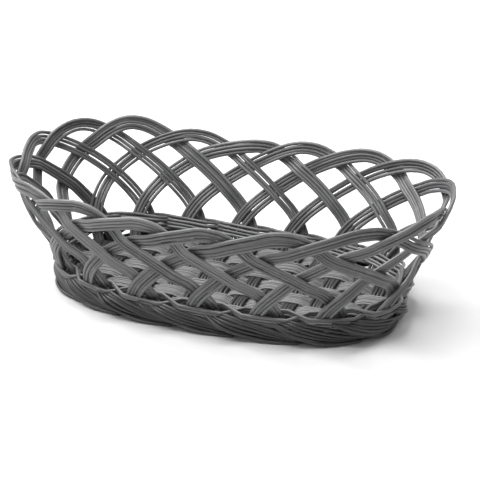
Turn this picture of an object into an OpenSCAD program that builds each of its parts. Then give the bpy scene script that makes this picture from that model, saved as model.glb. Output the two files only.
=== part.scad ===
// Oval bread basket: an open trellis border of arched strand bands over a woven floor and a plaited foot.
// Millimetres. +X runs along the length, +Y to the back, +Z up; the origin is under the middle of the floor.

/* [Wall] */
// Length of the rim, along the middle of its bands
rim_length = 224; // [212:1:240]
// Width of the rim, along the middle of its bands
rim_width = 114; // [108:1:122]
// Height of the arch tops' centre line
rim_height = 64; // [58:0.5:68]
// How far the rim rises at the two ends and dips at the middle of the long sides
rim_rise = 4; // [0:0.1:6]
// Length of the wall's middle line at the table
foot_length = 170; // [166:1:176]
// Width of the wall's middle line at the table
foot_width = 78; // [76:1:82]
// Squareness of the oval; 2 is an ellipse
squareness = 2.75; // [2.5:0.05:2.9]
// How fast the wall straightens towards the rim; 1 is a straight lean
wall_curve = 1.2; // [1:0.1:1.6]

/* [Trellis] */
// Number of arches round the rim
arch_count = 17; // [15:1:17]
// Width of one band of strands
band_width = 7.4; // [6:0.1:8]
// Width of a band where it is gathered at the foot
leg_width = 5.2; // [4:0.1:6]
// Thickness of one band of strands
band_thickness = 1.6; // [1.2:0.1:1.8]
// Distance that a band stands in or out from the wall's middle at a crossing
weave_shift = 1.25; // [1:0.05:1.5]
// Arch spacings that a leg runs along the wall from the arch's top to the foot
leg_reach = 2.22; // [2.1:0.01:2.3]
// Height of the legs' lower ends
leg_end_height = 6; // [5.6:0.1:8]

/* [Waist] */
// Radius of each of the two waist weavers
weaver_radius = 0.95; // [0.7:0.05:1.1]
// Height at which the weavers start
weaver_start = 18.2; // [17.5:0.1:19]
// Drop of the weavers in one turn round the basket
weaver_pitch = 3.9; // [3.8:0.1:4]
// Turns that each weaver makes
weaver_turns = 2; // [1:1:2]

/* [Foot] */
// Width of one plaited foot band
foot_band_width = 6.6; // [5.6:0.1:7]
// Arch spacings that one foot band runs along
foot_band_run = 1.7; // [1.4:0.1:1.8]
// Height of the core that the foot bands wrap and the legs stand on
core_height = 5.5; // [4:0.1:5.5]
// Reach of the core outside the wall's middle
core_outside = 3; // [2:0.1:3.2]
// Reach of the core inside the wall's middle
core_inside = 5; // [4:0.1:6]

/* [Floor] */
// Number of ribbons along the length
long_ribbons = 7; // [5:2:7]
// Spacing of the ribbons along the length
long_pitch = 10.6; // [9:0.1:10.6]
// Number of ribbons across the width
cross_ribbons = 13; // [9:2:13]
// Spacing of the ribbons across the width
cross_pitch = 12.6; // [11.6:0.1:12.6]
// Width of one floor ribbon
ribbon_width = 8.4; // [7:0.1:8.6]
// Thickness of one floor ribbon
ribbon_thickness = 1.6; // [1.2:0.1:1.8]
// Height of the middle of the floor's weave
floor_height = 7.7; // [7.4:0.1:9]

/* [Hidden] */
half_foot_length = foot_length / 2;
half_foot_width = foot_width / 2;
end_flare = (rim_length - foot_length) / 2;
side_flare = (rim_width - foot_width) / 2;

// Share of an arch spacing from the -X end to the first arch
first_arch = 0.68;
ring_steps = 240;
// The arches are spaced on a ring this far outside the foot's oval
spacing_ring = 5;
// Arch spacings by which the hand-woven arches drift from even spacing, once and twice round the rim
arch_drift = 0.43;
arch_drift_turn = -17;
twofold_drift = 0.19;
twofold_drift_turn = 24;

// Shape of a leg: how round the arch's top is, and how it weaves from its top to its end
arch_roundness = 0.12;
arch_steps = 44;
leg_weave = [[0, 0], [0.27, 1], [0.72, 1], [0.88, -1], [1.62, -1], [1.86, 1], [3, 1]];
gather_start = 0.72;
band_edge = 0.9;

weaver_steps = 6;
weaver_sides = 6;
weaver_gap = 0.15;
weaver_reach = weave_shift + band_thickness / 2 + weaver_radius + weaver_gap;
weaver_lift = weaver_radius + 0.1;
weaver_hold = 2.2;

// The foot bands lie on an oval in the wall's cross-section
foot_middle_out = 3.4;
foot_middle_height = 7;
foot_bulge = 3;
foot_half_height = 4.9;
foot_wrap_angle = 70;
foot_steps = 18;
// Most of an arch spacing that a foot band may take, where the bands crowd together round the ends
foot_band_share = 0.24;

floor_shift = 1;
floor_inset = 2.4;
crossing_play = 0.3;

strand_colour = [0.17, 0.17, 0.18];
shade_colour = [0.25, 0.25, 0.26];

function two_digits(i) = str(i < 10 ? "0" : "", i);
function names(word, count) = [for (i = [1:count]) str(word, "_", two_digits(i))];

function unit(v) = v / norm(v);

// ---- The wall ----
// A place on the wall is a position in arch spacings, clockwise from the -X end as seen from above,
// and a height.

function oval_radius(t) = pow(
    pow(abs(cos(t)) / half_foot_length, squareness) + pow(abs(sin(t)) / half_foot_width, squareness),
    -1 / squareness
);
function oval_point(t) = oval_radius(t) * [-cos(t), sin(t)];
function oval_normal(t) =
    let (along = unit(oval_point(t + 1) - oval_point(t - 1)))
    [-along.y, along.x];

ring_points = [
    for (i = [0:ring_steps])
    let (t = 360 * i / ring_steps)
    oval_point(t) + oval_normal(t) * spacing_ring
];
function step_length(i) = i < ring_steps ? norm(ring_points[i + 1] - ring_points[i]) : 0;
ring_lengths = [for (i = 0, s = 0; i <= ring_steps; s = s + step_length(i), i = i + 1) s];
ring_total = ring_lengths[ring_steps];
length_to_angle = [for (i = [0:ring_steps]) [ring_lengths[i], 360 * i / ring_steps]];

function ring_angle(p) =
    let (
        even = (p - first_arch) / arch_count,
        drift = arch_drift * sin(360 * even + arch_drift_turn)
            + twofold_drift * sin(720 * even + twofold_drift_turn),
        share = even - drift / arch_count
    )
    lookup((share - floor(share)) * ring_total, length_to_angle);

// The wall stands straight up from the table to the legs' ends, then leans out and straightens towards the rim
function flare(z) =
    let (climb = max(0, min(1, (z - leg_end_height) / (rim_height - leg_end_height))))
    1 - pow(1 - climb, wall_curve);
function wall_point(p, z) =
    let (
        t = ring_angle(p),
        base = oval_point(t),
        away = oval_normal(t),
        rise = rim_rise * z / rim_height * (2 * pow(base.x / half_foot_length, 2) - 1)
    )
    [base.x + away.x * end_flare * flare(z), base.y + away.y * side_flare * flare(z), z + rise];
function wall_normal(p, z) =
    let (
        along = wall_point(p + 0.05, z) - wall_point(p - 0.05, z),
        up = wall_point(p, z + 0.5) - wall_point(p, z - 0.5)
    )
    unit(cross(up, along));
function wall_place(p, z, out) = wall_point(p, z) + wall_normal(p, z) * out;

// ---- Sweeps ----

// Flat section with thin edges, in the plane of side and face
function band_section(middle, side, face, width, thickness) = [
    for (corner = [
        [-width / 2, 0],
        [-width / 2 + band_edge, -thickness / 2],
        [width / 2 - band_edge, -thickness / 2],
        [width / 2, 0],
        [width / 2 - band_edge, thickness / 2],
        [-width / 2 + band_edge, thickness / 2]
    ])
    middle + side * corner.x + face * corner.y
];
function round_section(middle, side, face, radius, sides) = [
    for (i = [0:sides - 1]) middle + radius * (cos(360 * i / sides) * side + sin(360 * i / sides) * face)
];

function heading(path, i) = unit(path[min(i + 1, len(path) - 1)] - path[max(i - 1, 0)]);

module sweep(rings) {
    sides = len(rings[0]);
    last = len(rings) - 1;
    points = [for (ring = rings) each ring];
    walls = [
        for (i = [0:last - 1], j = [0:sides - 1])
        let (a = i * sides + j, b = i * sides + (j + 1) % sides, c = a + sides, d = b + sides)
        each [[a, c, b], [b, c, d]]
    ];
    start = [for (j = [0:sides - 1]) j];
    end = [for (j = [sides - 1:-1:0]) last * sides + j];
    polyhedron(points, concat(walls, [start, end]), convexity = 6);
}

// ---- Trellis ----

function arch_drop(q) =
    (sqrt(q * q + arch_roundness * arch_roundness) - arch_roundness)
    / (sqrt(1 + arch_roundness * arch_roundness) - arch_roundness);
function leg_side(s) = s < 0 ? -1 : 1;
function arch_width(q) =
    abs(q) < gather_start ? band_width
    : band_width + (leg_width - band_width) * (abs(q) - gather_start) / (1 - gather_start);

module arch_band(index) {
    steps = [for (i = [-arch_steps / 2:arch_steps / 2]) 2 * i / arch_steps];
    reaches = [for (q = steps) leg_reach * sin(90 * q)];
    heights = [for (q = steps) rim_height - (rim_height - leg_end_height) * arch_drop(q)];
    shifts = [for (s = reaches) weave_shift * leg_side(s) * lookup(abs(s), leg_weave)];
    path = [for (i = [0:arch_steps]) wall_place(index + reaches[i], heights[i], shifts[i])];
    color(strand_colour)
    sweep([
        for (i = [0:arch_steps])
        let (
            along = heading(path, i),
            side = unit(cross(wall_normal(index + reaches[i], heights[i]), along)),
            face = cross(along, side)
        )
        band_section(path[i], side, face, arch_width(steps[i]), band_thickness)
    ]);
}

// ---- Waist ----

// Two weavers twist round each other and pass either side of each gathered pair of legs
module waist_weaver(side_of_wall) {
    count = arch_count * weaver_turns * weaver_steps;
    places = [for (i = [0:count]) i / weaver_steps];
    outs = [for (p = places) side_of_wall * weaver_reach * max(-1, min(1, weaver_hold * cos(180 * p)))];
    heights = [
        for (p = places) weaver_start - weaver_pitch * p / arch_count + side_of_wall * weaver_lift * sin(180 * p)
    ];
    path = [for (i = [0:count]) wall_place(places[i], heights[i], outs[i])];
    color(shade_colour)
    sweep([
        for (i = [0:count])
        let (
            along = heading(path, i),
            side = unit(cross(wall_normal(places[i], heights[i]), along)),
            face = cross(along, side)
        )
        round_section(path[i], side, face, weaver_radius, weaver_sides)
    ]);
}

// ---- Foot ----

module foot_band(index) {
    turns = [for (i = [0:foot_steps]) foot_wrap_angle * (1 - 2 * i / foot_steps)];
    places = [for (i = [0:foot_steps]) index + foot_band_run * (0.5 - i / foot_steps)];
    room = norm(wall_point(index + 0.5, 0) - wall_point(index - 0.5, 0));
    width = min(foot_band_width, foot_band_share * room);
    aways = [for (p = places) let (away = oval_normal(ring_angle(p))) [away.x, away.y, 0]];
    path = [
        for (i = [0:foot_steps])
        wall_point(places[i], foot_middle_height + foot_half_height * sin(turns[i]))
        + aways[i] * (foot_middle_out + foot_bulge * cos(turns[i]))
    ];
    color(strand_colour)
    sweep([
        for (i = [0:foot_steps])
        let (
            along = heading(path, i),
            lean = unit(aways[i] * cos(turns[i]) * foot_half_height + [0, 0, 1] * sin(turns[i]) * foot_bulge),
            side = unit(cross(lean, along)),
            face = cross(along, side)
        )
        band_section(path[i], side, face, width, band_thickness)
    ]);
}

function offset_ring(out) = [
    for (i = [0:ring_steps - 1])
    let (t = 360 * i / ring_steps)
    oval_point(t) + oval_normal(t) * out
];

module foot_core() {
    color(shade_colour)
    linear_extrude(core_height)
    difference() {
        polygon(offset_ring(core_outside));
        polygon(offset_ring(-core_inside));
    }
}

// ---- Floor ----

function ribbon_place(i, count, pitch) = (i - (count + 1) / 2) * pitch;
function room(place, half_across, half_along) =
    half_along * pow(1 - pow((abs(place) + ribbon_width / 2) / half_across, squareness), 1 / squareness) - floor_inset;

// A ribbon along X, woven over and under the ribbons at the given places
module woven_ribbon(half_length, places, first_over) {
    half_crossing = ribbon_width / 2 + crossing_play;
    met = [for (i = [0:len(places) - 1]) if (abs(places[i]) + half_crossing < half_length) i];
    line = [
        for (i = met, end = [-1, 1])
        [
            places[i] + end * half_crossing,
            floor_height + floor_shift * first_over * (i % 2 == 0 ? 1 : -1)
        ]
    ];
    middle = concat([[-half_length, line[0].y]], line, [[half_length, line[len(line) - 1].y]]);
    top = [for (p = middle) p + [0, ribbon_thickness / 2]];
    bottom = [for (i = [len(middle) - 1:-1:0]) middle[i] - [0, ribbon_thickness / 2]];
    rotate([90, 0, 0])
    linear_extrude(ribbon_width, center = true)
    polygon(concat(top, bottom));
}

long_places = [for (i = [1:long_ribbons]) ribbon_place(i, long_ribbons, long_pitch)];
cross_places = [for (i = [1:cross_ribbons]) ribbon_place(i, cross_ribbons, cross_pitch)];

module long_ribbon(index) {
    place = long_places[index - 1];
    color(shade_colour)
    translate([0, place, 0])
    woven_ribbon(room(place, half_foot_width, half_foot_length), cross_places, index % 2 == 0 ? 1 : -1);
}

module cross_ribbon(index) {
    place = cross_places[index - 1];
    color(shade_colour)
    translate([place, 0, 0])
    rotate([0, 0, 90])
    woven_ribbon(room(place, half_foot_length, half_foot_width), long_places, index % 2 == 0 ? -1 : 1);
}

for (i = [1:arch_count]) arch_band(i);
for (i = [1:arch_count]) foot_band(i);
for (i = [1:long_ribbons]) long_ribbon(i);
for (i = [1:cross_ribbons]) cross_ribbon(i);
waist_weaver(1);  // waist_weaver_1
waist_weaver(-1);  // waist_weaver_2
foot_core();
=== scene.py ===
import math
import random

import bmesh
import bpy
from mathutils import Matrix, Vector


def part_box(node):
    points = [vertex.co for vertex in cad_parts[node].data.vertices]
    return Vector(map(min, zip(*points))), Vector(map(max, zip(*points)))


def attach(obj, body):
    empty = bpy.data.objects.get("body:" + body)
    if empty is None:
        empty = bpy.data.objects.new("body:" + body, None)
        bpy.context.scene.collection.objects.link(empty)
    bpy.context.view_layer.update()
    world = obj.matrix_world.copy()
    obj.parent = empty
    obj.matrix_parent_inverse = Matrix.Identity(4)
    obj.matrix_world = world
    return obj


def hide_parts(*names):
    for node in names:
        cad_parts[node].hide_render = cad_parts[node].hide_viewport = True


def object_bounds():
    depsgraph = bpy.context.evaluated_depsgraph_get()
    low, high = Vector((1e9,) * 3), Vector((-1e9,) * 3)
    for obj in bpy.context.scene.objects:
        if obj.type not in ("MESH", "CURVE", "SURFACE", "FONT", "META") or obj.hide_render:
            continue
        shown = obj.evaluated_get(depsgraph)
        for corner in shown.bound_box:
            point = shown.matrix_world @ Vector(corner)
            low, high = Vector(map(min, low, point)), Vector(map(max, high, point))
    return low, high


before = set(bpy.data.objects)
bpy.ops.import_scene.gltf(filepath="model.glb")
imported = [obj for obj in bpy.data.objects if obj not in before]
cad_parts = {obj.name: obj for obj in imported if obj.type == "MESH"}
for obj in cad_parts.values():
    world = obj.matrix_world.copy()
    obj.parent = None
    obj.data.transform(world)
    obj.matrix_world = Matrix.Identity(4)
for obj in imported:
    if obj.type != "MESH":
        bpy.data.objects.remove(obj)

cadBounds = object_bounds()


# the wall that everything is woven on
wallShape = {
    "squareness": 2.75,       # 2 is an ellipse
    "coreOutside": 0.003,     # the foot's core reaches this far outside the wall
    "endMargin": 0.0021,      # bands stand this far outside the wall at the ends
    "sideMargin": 0.0022,
    "topMargin": 0.0036,      # half a band above the middle of the rim
    "rimRise": 0.004,         # the rim rises at the ends and dips along the sides
    "leanStart": 0.006,       # the wall leans out above this height
    "leanPower": 1.2,
    "archCount": 17,
    "firstArch": 0.68,        # share of a spacing from the -X end to the first arch
    "spacingOut": 0.005,      # the arches are spaced this far outside the foot
    "drift": (0.43, -17),     # spacings that the arches stray by, once round the rim
    "twofoldDrift": (0.19, 24),
    "slopeStep": (0.05, 0.0005),          # along and up, for the wall's own slope
}

coreLow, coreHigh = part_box("foot_core")
halfFootLength = (coreHigh[0] - coreLow[0]) / 2 - wallShape["coreOutside"]
halfFootWidth = (coreHigh[1] - coreLow[1]) / 2 - wallShape["coreOutside"]
endFlare = (cadBounds[1][0] - cadBounds[0][0]) / 2 - halfFootLength - wallShape["endMargin"]
sideFlare = (cadBounds[1][1] - cadBounds[0][1]) / 2 - halfFootWidth - wallShape["sideMargin"]
rimHeight = cadBounds[1][2] - wallShape["topMargin"] - wallShape["rimRise"]
print("wall", halfFootLength, halfFootWidth, endFlare, sideFlare, rimHeight)


def ovalPoint(turn):
    c, s = math.cos(math.radians(turn)), math.sin(math.radians(turn))
    n = wallShape["squareness"]
    r = (abs(c / halfFootLength) ** n + abs(s / halfFootWidth) ** n) ** (-1 / n)
    return Vector((-r * c, r * s, 0))


def ovalNormal(turn):
    along = (ovalPoint(turn + 1) - ovalPoint(turn - 1)).normalized()
    return Vector((-along.y, along.x, 0))


def easedBetween(x, knots):
    # from knot to knot, easing in and out of every one
    for (a, va), (b, vb) in zip(knots, knots[1:]):
        if x <= b:
            share = max(0.0, (x - a) / (b - a))
            return va + (vb - va) * share * share * (3 - 2 * share)
    return knots[-1][1]


spacingKnots = [(0.0, 0.0)]
for step in range(1, 361):
    here = ovalPoint(step) + ovalNormal(step) * wallShape["spacingOut"]
    last = ovalPoint(step - 1) + ovalNormal(step - 1) * wallShape["spacingOut"]
    spacingKnots.append((spacingKnots[-1][0] + (here - last).length, float(step)))
spacingTotal = spacingKnots[-1][0]


def placeTurn(place):
    even = (place - wallShape["firstArch"]) / wallShape["archCount"]
    stray = wallShape["drift"][0] * math.sin(math.radians(360 * even + wallShape["drift"][1]))
    stray += wallShape["twofoldDrift"][0] * math.sin(math.radians(720 * even + wallShape["twofoldDrift"][1]))
    target = (even - stray / wallShape["archCount"]) % 1 * spacingTotal
    low, high = 0, 360
    while high - low > 1:
        middle = (low + high) // 2
        if spacingKnots[middle][0] <= target:
            low = middle
        else:
            high = middle
    a, b = spacingKnots[low], spacingKnots[high]
    return a[1] + (target - a[0]) / (b[0] - a[0])


def wallPoint(place, height, out=0.0):
    # out is level, straight away from the oval
    turn = placeTurn(place)
    base, away = ovalPoint(turn), ovalNormal(turn)
    climb = max(0.0, min(1.0, (height - wallShape["leanStart"]) / (rimHeight - wallShape["leanStart"])))
    lean = 1 - (1 - climb) ** wallShape["leanPower"]
    rise = wallShape["rimRise"] * height / rimHeight * (2 * (base.x / halfFootLength) ** 2 - 1)
    return Vector((
        base.x + away.x * (endFlare * lean + out),
        base.y + away.y * (sideFlare * lean + out),
        height + rise,
    ))


def wallNormal(place, height):
    aside, above = wallShape["slopeStep"]
    along = wallPoint(place + aside, height) - wallPoint(place - aside, height)
    up = wallPoint(place, height + above) - wallPoint(place, height - above)
    return up.cross(along).normalized()


# strands
strandShape = {
    "sides": 10,
    "fewerSides": 8,          # for the strands that are mostly hidden
    "mergeWithin": 1e-6,
    "tone": 0.25,             # a middling strand, from 0, dark, to 1, light
    "toneSpread": (-0.2, 0.25),
}


def wander(rng, waves=3):
    # a slow random wave along a strand, about -1 to 1
    parts = []
    for n in range(waves):
        size = rng.uniform(0.5, 1.0) / (n + 1)
        often = (n + 1) * rng.uniform(0.7, 1.3)
        parts.append((size, often, rng.uniform(0, 6.28)))
    return lambda share: sum(size * math.sin(6.28 * often * share + phase) for size, often, phase in parts)


def layStrand(bm, path, ups, radius, tone, closed=False, sides=None):
    # a round strand swept along the path: one circle, extruded from place to place
    sides = sides or strandShape["sides"]
    uvLayer = bm.loops.layers.uv.verify()
    toneLayer = bm.verts.layers.float.get("strandTone") or bm.verts.layers.float.new("strandTone")
    last = len(path) - 1
    frames = []
    for i, here in enumerate(path):
        before = path[i - 1] if i > 0 else (path[last - 1] if closed else here)
        after = path[i + 1] if i < last else (path[1] if closed else here)
        along = (after - before).normalized()
        side = ups[i].cross(along).normalized()
        face = along.cross(side)
        turned = Matrix((side, face, along)).transposed().to_4x4()
        frames.append(Matrix.Translation(here) @ turned)
    circle = bmesh.ops.create_circle(bm, cap_ends=False, radius=radius, segments=sides, matrix=frames[0])
    ring = circle["verts"]
    edges = list(dict.fromkeys(edge for v in ring for edge in v.link_edges))      # each once, in order
    startEdges = list(edges)
    spots = {}
    faces = []
    travelled = 0.0
    for i, place in enumerate(frames):
        if i > 0:
            travelled += (path[i] - path[i - 1]).length
            grown = bmesh.ops.extrude_edge_only(bm, edges=edges)["geom"]
            ring = [g for g in grown if isinstance(g, bmesh.types.BMVert)]
            ringSet = set(ring)
            edges = [g for g in grown if isinstance(g, bmesh.types.BMEdge) and ringSet.issuperset(g.verts)]
            bmesh.ops.transform(bm, matrix=place @ frames[i - 1].inverted(), verts=ring)
            faces += [f for edge in edges for f in edge.link_faces]
        back = place.inverted()
        for v in ring:
            local = back @ v.co
            spots[v] = (travelled, math.atan2(local.y, local.x) / math.tau % 1)
            v[toneLayer] = tone
    around = math.tau * radius
    for face in dict.fromkeys(faces):
        turns = [spots[loop.vert][1] for loop in face.loops]
        wraps = max(turns) - min(turns) > 0.5
        for loop, turn in zip(face.loops, turns):
            loop[uvLayer].uv = (spots[loop.vert][0], (turn + 1 if wraps and turn < 0.5 else turn) * around)
    if closed:
        bmesh.ops.remove_doubles(bm, verts=list(spots), dist=strandShape["mergeWithin"])
    else:
        for rim in (startEdges, edges):
            bmesh.ops.edgeloop_fill(bm, edges=rim)


def finishPiece(bm, name, material, slotName, *nodes):
    bmesh.ops.recalc_face_normals(bm, faces=bm.faces[:])
    for face in bm.faces:
        face.smooth = len(face.verts) == 4
    mesh = bpy.data.meshes.new(name)
    bm.to_mesh(mesh)
    bm.free()
    mesh.materials.append(material)
    piece = bpy.data.objects.new(name, mesh)
    bpy.context.scene.collection.objects.link(piece)
    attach(piece, "root")
    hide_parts(*nodes)
    return piece


# finishes
strandFinish = {
    "trellis": {"dark": 0.045, "light": 0.142, "roughness": 0.34},
    "waist": {"dark": 0.036, "light": 0.140, "roughness": 0.36},
    # painted shade: the foot's strands are kept far darker than the trellis's, for the shade low down at the
    # foot
    "foot": {"dark": 0.011, "light": 0.038, "roughness": 0.36},
    "core": {"dark": 0.014, "light": 0.036, "roughness": 0.46},
    "floor": {"dark": 0.040, "light": 0.132, "roughness": 0.42},
    # painted shade: the crosswise floor strands are kept dark so that the weave shows dark slits of shade
    "floorCrossPaintedShade": {"dark": 0.012, "light": 0.034, "roughness": 0.46},
}


strandGrain = {
    "lines": (60, 4200, 0),   # along and round the strand, to a metre
    "slow": (45, 120, 0),
    "apart": 57.0,            # so that no two strands share a pattern
    "linesShare": 0.55,
    "slowShare": 0.5,
    "scuffScale": 210.0,
    "scuffs": (0.58, 0.80, 0.35),         # where they begin, where they are full, how pale
    "ramp": (0.35, 1.0),
    "cool": (1.04, 1.02),     # a breath of blue in the dark and in the light
    "glossRange": (-0.09, 0.12),
    "bump": (0.25, 0.00012),
    "specular": 0.5,
    "sheen": (0.03, 0.5),
}


def strandMaterial(name, look):
    material = bpy.data.materials.new(name)
    material.use_nodes = True
    nodes, links = material.node_tree.nodes, material.node_tree.links
    nodes.clear()
    output = nodes.new("ShaderNodeOutputMaterial")
    shader = nodes.new("ShaderNodeBsdfPrincipled")
    shader.inputs["Specular IOR Level"].default_value = strandGrain["specular"]
    shader.inputs["Sheen Weight"].default_value = strandGrain["sheen"][0]
    shader.inputs["Sheen Roughness"].default_value = strandGrain["sheen"][1]
    links.new(shader.outputs["BSDF"], output.inputs["Surface"])

    # drawn lines along the strand: noise stretched lengthwise in the strand's own map
    uv = nodes.new("ShaderNodeUVMap")
    uv.uv_map = "UVMap"
    tone = nodes.new("ShaderNodeAttribute")
    tone.attribute_name = "strandTone"
    shift = nodes.new("ShaderNodeCombineXYZ")
    links.new(tone.outputs["Fac"], shift.inputs["Z"])
    placed = nodes.new("ShaderNodeVectorMath")
    placed.operation = "MULTIPLY_ADD"
    placed.inputs[1].default_value = strandGrain["lines"]
    links.new(uv.outputs["UV"], placed.inputs[0])
    spread = nodes.new("ShaderNodeVectorMath")
    spread.operation = "SCALE"
    spread.inputs["Scale"].default_value = strandGrain["apart"]
    links.new(shift.outputs["Vector"], spread.inputs[0])
    links.new(spread.outputs["Vector"], placed.inputs[2])
    lines = nodes.new("ShaderNodeTexNoise")
    lines.inputs["Scale"].default_value = 1.0
    lines.inputs["Detail"].default_value = 4.0
    lines.inputs["Roughness"].default_value = 0.6
    links.new(placed.outputs["Vector"], lines.inputs["Vector"])

    # slow change of colour along each strand
    slowPlace = nodes.new("ShaderNodeVectorMath")
    slowPlace.operation = "MULTIPLY_ADD"
    slowPlace.inputs[1].default_value = strandGrain["slow"]
    links.new(uv.outputs["UV"], slowPlace.inputs[0])
    links.new(spread.outputs["Vector"], slowPlace.inputs[2])
    slow = nodes.new("ShaderNodeTexNoise")
    slow.inputs["Scale"].default_value = 1.0
    slow.inputs["Detail"].default_value = 2.0
    links.new(slowPlace.outputs["Vector"], slow.inputs["Vector"])

    # tone of the strand + lines + slow change, to one share of light
    addLines = nodes.new("ShaderNodeMath")
    addLines.operation = "MULTIPLY_ADD"
    addLines.inputs[1].default_value = strandGrain["linesShare"]
    links.new(lines.outputs["Fac"], addLines.inputs[0])
    links.new(tone.outputs["Fac"], addLines.inputs[2])
    addSlow = nodes.new("ShaderNodeMath")
    addSlow.operation = "MULTIPLY_ADD"
    addSlow.inputs[1].default_value = strandGrain["slowShare"]
    links.new(slow.outputs["Fac"], addSlow.inputs[0])
    links.new(addLines.outputs["Value"], addSlow.inputs[2])

    # paler scuffs where the weave has been handled
    spot = nodes.new("ShaderNodeTexCoord")
    scuff = nodes.new("ShaderNodeTexNoise")
    scuff.inputs["Scale"].default_value = strandGrain["scuffScale"]
    scuff.inputs["Detail"].default_value = 3.0
    links.new(spot.outputs["Object"], scuff.inputs["Vector"])
    worn = nodes.new("ShaderNodeMapRange")
    begins, full, pale = strandGrain["scuffs"]
    worn.inputs["From Min"].default_value = begins
    worn.inputs["From Max"].default_value = full
    worn.inputs["To Max"].default_value = pale
    links.new(scuff.outputs["Fac"], worn.inputs["Value"])
    addWorn = nodes.new("ShaderNodeMath")
    addWorn.operation = "ADD"
    links.new(addSlow.outputs["Value"], addWorn.inputs[0])
    links.new(worn.outputs["Result"], addWorn.inputs[1])
    ramp = nodes.new("ShaderNodeValToRGB")
    for end, kind in enumerate(("dark", "light")):
        grey = look[kind]
        ramp.color_ramp.elements[end].position = strandGrain["ramp"][end]
        ramp.color_ramp.elements[end].color = (grey, grey, grey * strandGrain["cool"][end], 1)
    links.new(addWorn.outputs["Value"], ramp.inputs["Fac"])
    links.new(ramp.outputs["Color"], shader.inputs["Base Color"])

    gloss = nodes.new("ShaderNodeMapRange")
    gloss.inputs["To Min"].default_value = look["roughness"] + strandGrain["glossRange"][0]
    gloss.inputs["To Max"].default_value = look["roughness"] + strandGrain["glossRange"][1]
    links.new(lines.outputs["Fac"], gloss.inputs["Value"])
    links.new(gloss.outputs["Result"], shader.inputs["Roughness"])

    bump = nodes.new("ShaderNodeBump")
    bump.inputs["Strength"].default_value, bump.inputs["Distance"].default_value = strandGrain["bump"]
    links.new(lines.outputs["Fac"], bump.inputs["Height"])
    links.new(bump.outputs["Normal"], shader.inputs["Normal"])
    return material


finishes = {kind: strandMaterial(kind + "Strand", look) for kind, look in strandFinish.items()}
print("finishes made")


# trellis: arches of about four strands
trellis = {
    "seed": 11,
    "radius": 0.00092,
    "pitch": 0.00181,         # from strand to strand across a band
    "crowding": 0.97,         # how nearly a band of five keeps the width of four
    "gatheredPitch": 0.00135,
    "gatheredStagger": 0.0005,
    "gatherStart": 0.72,
    "reach": 2.22,            # spacings from an arch's top to a leg's end
    "roundness": 0.12,
    "legEnd": 0.0045,
    "weaveShift": 0.00128,
    "weave": [(0, 0), (0.30, 1), (0.66, 1), (0.94, -1), (1.58, -1), (1.90, 1), (3, 1)],
    "frontArches": (11, 15),
    "front": (-0.22, 0.0012), # spacings that the tops along the front stray by, and their rise
    "tops": {1: 0.15, 2: 0.06, 3: -0.08, 5: 0.17, 7: 0.09, 8: 0.09, 16: -0.15, 17: -0.28},
    "rises": {1: -0.0025, 3: 0.0018, 4: -0.001, 5: -0.002, 16: -0.003, 17: -0.0045},
    "steps": 72,
    "sideWander": 0.00034,
    "faceWander": 0.00022,
    "counts": [4, 4, 4, 5, 4, 4, 4, 5, 4],
    "bandTone": 0.12,
    "thickness": (0.94, 1.05),
}


def archDrop(q, roundness):
    flat = math.sqrt(1 + roundness ** 2) - roundness
    return (math.sqrt(q * q + roundness ** 2) - roundness) / flat


def archFrame(index, q):
    s = trellis["reach"] * math.sin(math.radians(90 * q))
    height = rimHeight - (rimHeight - trellis["legEnd"]) * archDrop(q, trellis["roundness"])
    side = -1 if s < 0 else 1
    shift = trellis["weaveShift"] * side * easedBetween(abs(s), trellis["weave"])
    near = max(0.0, 1 - abs(s)) ** 2 * (1 + 2 * abs(s))       # 1 at the top, none a spacing away
    stray, rise = trellis["tops"].get(index, 0), trellis["rises"].get(index, 0)
    if trellis["frontArches"][0] <= index <= trellis["frontArches"][1]:
        stray, rise = trellis["front"]
    place = index + s + stray * near
    normal = wallNormal(place, height)
    spot = wallPoint(place, height) + normal * shift
    spot.z += rise * near
    return spot, normal


def archStrands(index):
    rng = random.Random(trellis["seed"] * 100 + index)
    count = trellis["counts"][index % len(trellis["counts"])]
    qs = [-1 + 2 * i / trellis["steps"] for i in range(trellis["steps"] + 1)]
    placed = [archFrame(index, q) for q in qs]
    bm = bmesh.new()
    bandTone = rng.uniform(-trellis["bandTone"], trellis["bandTone"])
    for j in range(count):
        sideWave, faceWave = wander(rng), wander(rng)
        path, ups = [], []
        for i, q in enumerate(qs):
            middle, normal = placed[i]
            along = (placed[min(i + 1, len(qs) - 1)][0] - placed[max(i - 1, 0)][0]).normalized()
            side = normal.cross(along).normalized()
            face = along.cross(side)
            gather = max(0.0, (abs(q) - trellis["gatherStart"]) / (1 - trellis["gatherStart"]))
            pitch = trellis["pitch"]
            if count > 4:
                pitch = trellis["pitch"] * 4 / count ** trellis["crowding"]
            pitch += (trellis["gatheredPitch"] - pitch) * gather
            across = (j - (count - 1) / 2) * pitch + sideWave(i / len(qs)) * trellis["sideWander"]
            stagger = trellis["gatheredStagger"] * (1 if j % 2 else -1)
            deep = faceWave(i / len(qs)) * trellis["faceWander"] + stagger * gather
            path.append(middle + side * across + face * deep)
            ups.append(normal)
        tone = strandShape["tone"] + bandTone + rng.uniform(*strandShape["toneSpread"])
        layStrand(bm, path, ups, trellis["radius"] * rng.uniform(*trellis["thickness"]), tone)
    return bm


for index in range(1, wallShape["archCount"] + 1):
    node = "arch_band_%02d" % index
    finishPiece(archStrands(index), "archStrands_%02d" % index, finishes["trellis"], "trellis_strands", node)
print("trellis laid")


# waist: two weavers twined round the gathered legs
waist = {
    "seed": 5,
    "radius": 0.00082,
    "pitch": 0.00172,
    "strands": 2,
    "start": 0.0182,
    "drop": 0.0039,           # in one turn
    "turns": 2,
    "reach": 0.0028,
    "hold": 2.0,
    "lift": 0.00060,
    "wander": (9, 0.0002),    # waves round the basket, and their height
    "tones": (0.55, 0.10),    # the two strands of a weaver
    "toneSpread": 0.1,
    "steps": 12,              # to an arch spacing
}


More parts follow.
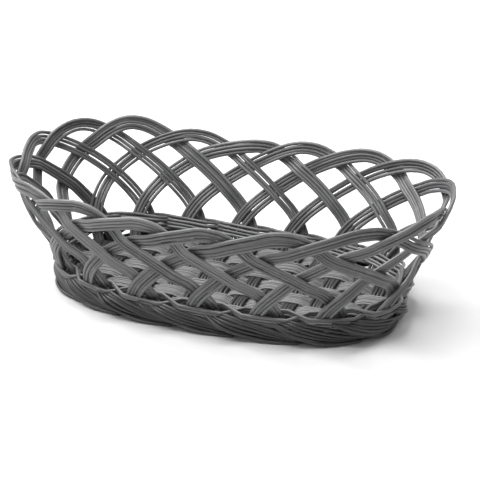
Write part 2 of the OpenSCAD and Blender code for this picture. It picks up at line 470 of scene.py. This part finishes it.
def weaverStrands(side):
    rng = random.Random(waist["seed"] * 100 + side)
    total = wallShape["archCount"] * waist["turns"] * waist["steps"]
    bm = bmesh.new()
    for j in range(waist["strands"]):
        wave = wander(rng, 5)
        path, ups = [], []
        for i in range(total + 1):
            place = i / waist["steps"]
            swing = math.cos(math.pi * place)
            out = side * waist["reach"] * max(-1, min(1, waist["hold"] * swing))
            height = waist["start"] - waist["drop"] * place / wallShape["archCount"]
            height += side * waist["lift"] * math.sin(math.pi * place)
            height += (j - (waist["strands"] - 1) / 2) * waist["pitch"]
            height += wave(i / total * waist["wander"][0]) * waist["wander"][1]
            normal = wallNormal(place, height)
            path.append(wallPoint(place, height) + normal * out)
            ups.append(normal)
        tone = waist["tones"][j % 2] + rng.uniform(-waist["toneSpread"], waist["toneSpread"])
        layStrand(bm, path, ups, waist["radius"], tone, sides=strandShape["fewerSides"])
    return bm


finishPiece(weaverStrands(1), "waistWeaver_1", finishes["waist"], "waist_strands", "waist_weaver_1")
finishPiece(weaverStrands(-1), "waistWeaver_2", finishes["waist"], "waist_strands", "waist_weaver_2")
print("waist twined")


# foot: plaited bands that sweep down into a roll
foot = {
    "seed": 23,
    "strands": 5,
    "radius": 0.00084,
    "widest": 0.0088,
    "crowded": 0.32,          # most of an arch spacing that a band may take
    "run": 2.5,
    "steepness": 1.6,         # falls fast from the waist, then lies almost level
    "ahead": 0.40,            # spacings that a band starts ahead of its cluster
    "emerge": (0.14, 0.0042), # comes out from between the legs over this share, from this far in
    "strayTips": {10: 2, 13: 1, 3: 1, 6: 1},          # strands whose cut tips stand out instead
    "strayOut": 0.0012,
    "wrap": (100, -112),      # from the top to the underside
    "middleOut": 0.0030,
    "middleHeight": 0.0069,
    "bulge": 0.0030,
    "splay": (0.0060, 0.0052, 0.0115),    # at the -X end: how far, about which height, over how much
    "halfHeight": 0.0054,
    "layer": 0.0016,          # out at its start, in under the next band
    "bandTone": 0.1,
    "thickness": (0.94, 1.03),
    "clearance": 1.02,        # strand radii that a strand's middle keeps above the table
    "layerPace": 1.7,
    "layerRise": 0.4,
    "taper": 0.35,            # narrower at both ends
    "sideWander": 0.00035,
    "faceWander": 0.00025,
    "steps": 40,
}


def footStrands(index):
    rng = random.Random(foot["seed"] * 100 + index)
    room = (wallPoint(index + 0.5, 0) - wallPoint(index - 0.5, 0)).length
    width = min(foot["widest"], foot["crowded"] * room)
    shares = [i / foot["steps"] for i in range(foot["steps"] + 1)]
    bm = bmesh.new()
    bandTone = rng.uniform(-foot["bandTone"], foot["bandTone"])

    def middle(share):
        top, low = foot["wrap"]
        turn = math.radians(top + (low - top) * (1 - (1 - share) ** foot["steepness"]))
        place = index + foot["run"] * (foot["ahead"] - share)
        away = ovalNormal(placeTurn(place))
        layer = foot["layer"] * math.cos(math.pi * min(1, share * foot["layerPace"]))
        out = foot["middleOut"] + (foot["bulge"] + layer) * math.cos(turn)
        height = foot["middleHeight"] + (foot["halfHeight"] + layer * foot["layerRise"]) * math.sin(turn)
        nearEnd = min(0.0, wallPoint(place, 0).x / halfFootLength) ** 4
        splay, about, over = foot["splay"]
        out -= splay * nearEnd * (height - about) / over
        up = away * math.cos(turn) * foot["halfHeight"] + Vector((0, 0, 1)) * math.sin(turn) * foot["bulge"]
        return wallPoint(place, height, out), up.normalized()

    placed = [middle(share) for share in shares]
    for j in range(foot["strands"]):
        sideWave, faceWave = wander(rng), wander(rng)
        path, ups = [], []
        for i, share in enumerate(shares):
            here, up = placed[i]
            along = (placed[min(i + 1, foot["steps"])][0] - placed[max(i - 1, 0)][0]).normalized()
            side = up.cross(along).normalized()
            across = (j - (foot["strands"] - 1) / 2) * width / foot["strands"]
            across *= 1 - foot["taper"] * abs(2 * share - 1) ** 3
            spot = here + side * (across + sideWave(share) * foot["sideWander"])
            spot += up * faceWave(share) * foot["faceWander"]
            hidden = max(0.0, 1 - share / foot["emerge"][0])
            stray = j < foot["strayTips"].get(index, 0)
            outward = foot["strayOut"] if stray else -foot["emerge"][1]
            spot += ovalNormal(placeTurn(index)) * hidden * outward
            spot.z = max(spot.z, foot["radius"] * foot["clearance"])
            path.append(spot)
            ups.append(up)
        radius = foot["radius"] * rng.uniform(*foot["thickness"])
        tone = strandShape["tone"] + bandTone + rng.uniform(*strandShape["toneSpread"])
        layStrand(bm, path, ups, radius, tone)
    return bm


for index in range(1, wallShape["archCount"] + 1):
    node = "foot_band_%02d" % index
    # the foot's dark finish is painted shade
    finishPiece(footStrands(index), "footStrands_%02d" % index, finishes["foot"], "foot_strands", node)
print("foot plaited")


# core: strand ends laid round inside the foot
core = {
    "seed": 31,
    "radius": 0.00098,
    "rows": 3,
    "columns": 4,
    "inside": -0.0040,
    "outside": 0.0019,
    "lowest": 0.00100,
    "highest": 0.00455,
    "swell": 0.00016,
    "swells": (5, 6, 7),      # round the basket
    "tone": 0.2,
    "toneSpread": (-0.15, 0.25),
    "steps": 132,
}


def coreStrands():
    rng = random.Random(core["seed"])
    bm = bmesh.new()
    for row in range(core["rows"]):
        for column in range(core["columns"]):
            out = core["inside"] + (core["outside"] - core["inside"]) * column / (core["columns"] - 1)
            height = core["lowest"] + (core["highest"] - core["lowest"]) * row / (core["rows"] - 1)
            path, ups = [], []
            phase, swells = rng.uniform(0, 6.28), rng.choice(core["swells"])
            for i in range(core["steps"] + 1):
                turn = 360 * (i % core["steps"]) / core["steps"]
                swell = core["swell"] * math.sin(math.radians(turn) * swells + phase)
                spot = ovalPoint(turn) + ovalNormal(turn) * (out + swell)
                spot.z = height + (swell if row else 0)
                path.append(spot)
                ups.append(Vector((0, 0, 1)))
            tone = core["tone"] + rng.uniform(*core["toneSpread"])
            layStrand(bm, path, ups, core["radius"], tone, closed=True, sides=strandShape["fewerSides"])
    return bm


finishPiece(coreStrands(), "coreStrands", finishes["core"], "core_strands", "foot_core")
print("core laid")


# floor: ribbons of strands woven both ways
floorWeave = {
    "seed": 47,
    "longStrands": (6, 0.00070, 0.0098),     # how many, their radius and the ribbon's width
    "crossStrands": (4, 0.00086, 0.0068),
    "shift": 0.00098,
    "height": 0.0077,
    "ramp": 0.0012,
    "halfRibbon": 0.0042,
    "spare": 0.0012,          # strands run on this far past the ribbon's ends, in among the core
    "step": 0.0021,
    "sideWander": 0.00025,
    "lightest": (0.7, 0.3),   # lengthwise and crosswise; the crosswise strands stay darker, painted shade
    "thickness": (0.95, 1.03),
    "fewestSteps": 12,
}
longNodes = sorted(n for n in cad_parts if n.startswith("long_ribbon"))
crossNodes = sorted(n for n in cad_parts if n.startswith("cross_ribbon"))


def ribbonStrands(node, axis, places, firstOver, seed):
    # axis 0 runs along the length, 1 across it
    rng = random.Random(floorWeave["seed"] * 100 + seed)
    low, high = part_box(node)
    other = 1 - axis
    centre = (low[other] + high[other]) / 2
    start, end = low[axis] - floorWeave["spare"], high[axis] + floorWeave["spare"]
    strands, radius, width = floorWeave["crossStrands" if axis else "longStrands"]
    half = floorWeave["halfRibbon"]
    knots = []
    for i, place in enumerate(places):
        if start < place - half and place + half < end:
            over = firstOver * (1 if i % 2 == 0 else -1)
            knots.append((place - half + floorWeave["ramp"], over))
            knots.append((place + half - floorWeave["ramp"], over))
    count = max(floorWeave["fewestSteps"], round((end - start) / floorWeave["step"]))
    bm = bmesh.new()
    for j in range(strands):
        sideWave = wander(rng)
        path, ups = [], []
        for i in range(count + 1):
            share = i / count
            run = start + (end - start) * share
            across = centre + (j - (strands - 1) / 2) * width / strands
            across += sideWave(share) * floorWeave["sideWander"]
            level = floorWeave["height"] + floorWeave["shift"] * easedBetween(run, knots)
            path.append(Vector((run, across, level)) if axis == 0 else Vector((across, run, level)))
            ups.append(Vector((0, 0, 1)))
        tone = rng.uniform(0.0, floorWeave["lightest"][axis])
        thick = radius * rng.uniform(*floorWeave["thickness"])
        layStrand(bm, path, ups, thick, tone, sides=strandShape["fewerSides"])
    return bm


longPlaces = [(sum(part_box(n)[k][1] for k in (0, 1))) / 2 for n in longNodes]
crossPlaces = [(sum(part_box(n)[k][0] for k in (0, 1))) / 2 for n in crossNodes]
for i, node in enumerate(longNodes):
    bm = ribbonStrands(node, 0, crossPlaces, 1 if i % 2 else -1, i)
    finishPiece(bm, "longStrands_%02d" % (i + 1), finishes["floor"], "floor_strands", node)
for i, node in enumerate(crossNodes):
    bm = ribbonStrands(node, 1, longPlaces, -1 if i % 2 else 1, 50 + i)
    # the crosswise strands take the dark finish, which is painted shade
    finishPiece(bm, "crossStrands_%02d" % (i + 1), finishes["floorCrossPaintedShade"], "floor_strands", node)
print("floor woven")


# table top, light and camera
studio = {
    "floorSize": 6,
    "floorColour": 0.67,
    "floorRoughness": 0.85,
    "aimHeight": 0.03,        # the lamps point at the basket's middle
    "worldColour": (1.0, 1.0, 1.0),
    "worldStrength": 0.44,
    "keyPower": 29.0,
    "keyPlace": (-0.42, -0.03, 0.98),
    "keySize": 1.15,
    "fillPower": 0.5,
    "fillPlace": (-0.35, -0.95, 0.80),
    "fillSize": 0.6,
    "rimPower": 2.5,
    "rimPlace": (0.45, 0.8, 0.6),
    "rimSize": 0.4,
}


def paleFloor():
    bm = bmesh.new()
    bmesh.ops.create_grid(bm, x_segments=2, y_segments=2, size=studio["floorSize"])
    mesh = bpy.data.meshes.new("paleFloor")
    bm.to_mesh(mesh)
    bm.free()
    material = bpy.data.materials.new("palePaper")
    material.use_nodes = True
    shader = material.node_tree.nodes["Principled BSDF"]
    grey = studio["floorColour"]
    shader.inputs["Base Color"].default_value = (grey, grey, grey, 1)
    shader.inputs["Roughness"].default_value = studio["floorRoughness"]
    mesh.materials.append(material)
    floor = bpy.data.objects.new("paleFloor", mesh)
    bpy.context.scene.collection.objects.link(floor)


def softBox(name, place, size, power):
    light = bpy.data.lights.new(name, "AREA")
    light.shape = "SQUARE"
    light.size = size
    light.energy = power
    lamp = bpy.data.objects.new(name, light)
    lamp.location = place
    aim = Vector((0, 0, studio["aimHeight"])) - Vector(place)
    lamp.rotation_euler = aim.to_track_quat("-Z", "Y").to_euler()
    bpy.context.scene.collection.objects.link(lamp)


paleFloor()
softBox("keyLight", studio["keyPlace"], studio["keySize"], studio["keyPower"])
softBox("fillLight", studio["fillPlace"], studio["fillSize"], studio["fillPower"])
softBox("rimLight", studio["rimPlace"], studio["rimSize"], studio["rimPower"])
world = bpy.data.worlds.new("softSky")
world.use_nodes = True
background = world.node_tree.nodes["Background"]
background.inputs["Color"].default_value = (*studio["worldColour"], 1)
background.inputs["Strength"].default_value = studio["worldStrength"]
bpy.context.scene.world = world
bpy.context.scene.view_settings.view_transform = "Standard"

cameraView = {
    "turn": -19.6,            # round the basket, from its front
    "down": 26.56,            # looking down
    "away": 0.9238,
    "lens": 135.3,
    "sensor": 36,
    "clip": (0.01, 20),
    "aside": 0.00567,
    "above": 0.02715,
    "tilt": 0.58,             # rolled about the line of sight
}


def placeCamera():
    turn, down = math.radians(cameraView["turn"]), math.radians(cameraView["down"])
    right = Vector((math.cos(turn), -math.sin(turn), 0))
    forward = Vector((math.sin(turn) * math.cos(down), math.cos(turn) * math.cos(down), -math.sin(down)))
    up = Vector((math.sin(turn) * math.sin(down), math.cos(turn) * math.sin(down), math.cos(down)))
    spot = right * cameraView["aside"] + up * cameraView["above"] - forward * cameraView["away"]
    turned = Matrix((right, up, -forward)).transposed().to_4x4()
    tilt = Matrix.Rotation(-math.radians(cameraView["tilt"]), 4, "Z")
    lens = bpy.data.cameras.new("camera")
    lens.lens = cameraView["lens"]
    lens.sensor_width = cameraView["sensor"]
    lens.clip_start, lens.clip_end = cameraView["clip"]
    camera = bpy.data.objects.new("camera", lens)
    camera.matrix_world = Matrix.Translation(spot) @ turned @ tilt
    bpy.context.scene.collection.objects.link(camera)
    bpy.context.scene.camera = camera


placeCamera()
print("studio set")
